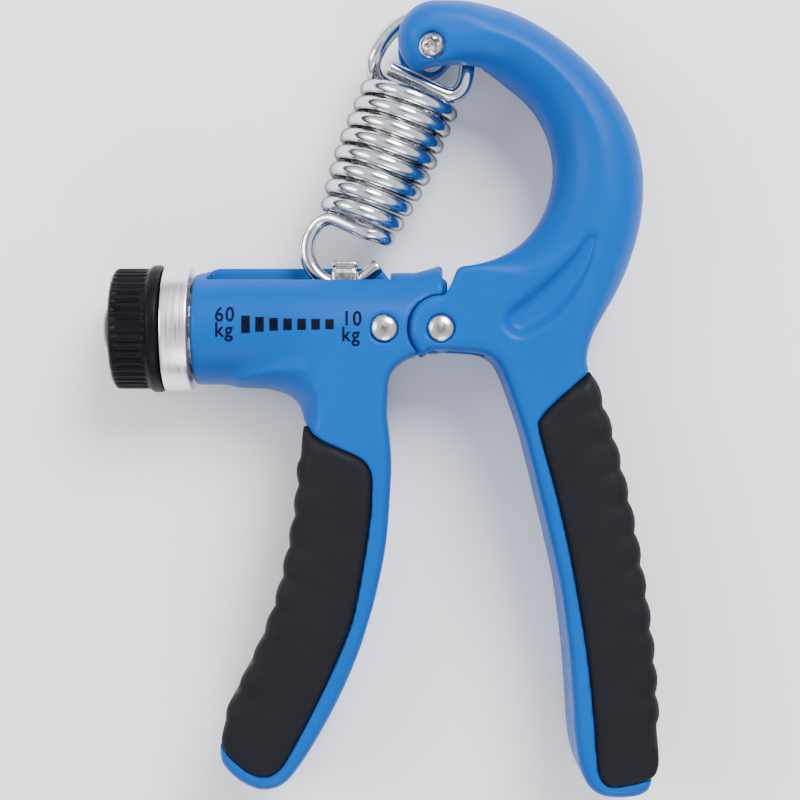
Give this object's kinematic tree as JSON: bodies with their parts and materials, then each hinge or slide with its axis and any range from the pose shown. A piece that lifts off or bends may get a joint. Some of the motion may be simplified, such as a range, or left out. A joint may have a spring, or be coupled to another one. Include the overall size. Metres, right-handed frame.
{
  "type": "hand grip strengthener",
  "caption": "Adjustable hand grip strengthener: two hinged handles with ribbed rubber pads, a tension spring between them and a knob that sets its load.",
  "frame": {"origin": "centre of the bounding box on the surface that the strengthener lies on", "axes": "+X from the knob towards the right handle, +Y from the handles' free ends towards the spring, +Z out of the printed face"},
  "size_m": [0.108, 0.1532, 0.025],
  "materials": {
    "blue_plastic": "moulded, semi-gloss",
    "black_rubber": "matte, fine grain",
    "black_plastic": "moulded, satin",
    "grey_plastic": "glossy",
    "brushed_aluminium": "turned and brushed",
    "chrome_wire": "bright plated",
    "plated_steel": "plated",
    "white_nylon": "natural"
  },
  "bodies": {
    "left_side": {"left_handle": "blue_plastic", "left_grip_pad": "black_rubber", "barrel_bush": "white_nylon", "thrust_washer": "plated_steel", "end_bearing": "white_nylon", "bearing_rivet": "plated_steel", "pivot_rivet": "plated_steel", "pivot_sleeve": "plated_steel", "pivot_washer_front": "white_nylon", "pivot_washer_back": "white_nylon"},
    "right_side": {"right_handle": "blue_plastic", "right_grip_pad": "black_rubber", "anchor_screw": "plated_steel", "anchor_nut": "plated_steel", "spring_roller": "white_nylon"},
    "knob_and_screw": {"adjusting_knob": "black_plastic", "knob_end_cap": "grey_plastic", "collar_ring": "brushed_aluminium", "lead_screw": "plated_steel", "knob_fixing_screw": "plated_steel"},
    "nut": {"tension_nut": "plated_steel"},
    "hook": {"spring_hook": "chrome_wire"},
    "coils_low": {"spring_lower": "chrome_wire"},
    "coils_middle": {"spring_middle": "chrome_wire"},
    "coils_high": {"spring_upper": "chrome_wire", "spring_eye": "chrome_wire"}
  },
  "joints": [
    {"name": "squeeze", "type": "hinge", "parent": "left_side", "child": "right_side", "pos_m": [0.01195, 0.013, 0.0125], "axis": [0, 0, -1], "range_deg": [0, 33], "stiffness_Nm_per_rad": 11.9},
    {"name": "knob_turn", "type": "hinge", "parent": "left_side", "child": "knob_and_screw", "pos_m": [-0.04195, 0.0133, 0.0125], "axis": [1, 0, 0], "range_deg": [0, 3960]},
    {"name": "nut_slide", "type": "slide", "parent": "left_side", "child": "nut", "axis": [-1, 0, 0], "range_m": [0, 0.0165]},
    {"name": "hook_adjust", "type": "hinge", "parent": "nut", "child": "hook", "pos_m": [-0.00715, 0.0289, 0.0125], "axis": [0, 0, -1], "range_deg": [0, 13.24]},
    {"name": "hook_lean", "type": "hinge", "parent": "hook", "child": "coils_low", "pos_m": [-0.00715, 0.0289, 0.0125], "axis": [0, 0, -1], "range_deg": [0, 29.12]},
    {"name": "coil_stretch", "type": "slide", "parent": "coils_low", "child": "coils_middle", "axis": [0.4163, 0.9092, 0], "range_m": [0, 0.01588], "deforming": ["spring_lower", "spring_middle"]},
    {"name": "coil_adjust", "type": "slide", "parent": "coils_middle", "child": "coils_high", "axis": [0.4163, 0.9092, 0], "range_m": [0, 0.01077], "deforming": ["spring_upper"]}
  ],
  "couplings": [
    {"joint": "knob_turn", "follows": "nut_slide", "rad_per_m": 4188.8},
    {"joint": "hook_adjust", "follows": "nut_slide", "rad_per_m": 13.998},
    {"joint": "coil_adjust", "follows": "nut_slide", "ratio": 0.652},
    {"joint": "hook_lean", "follows": "squeeze", "ratio": 0.882},
    {"joint": "coil_stretch", "follows": "squeeze", "m_per_rad": 0.027559}
  ]
}
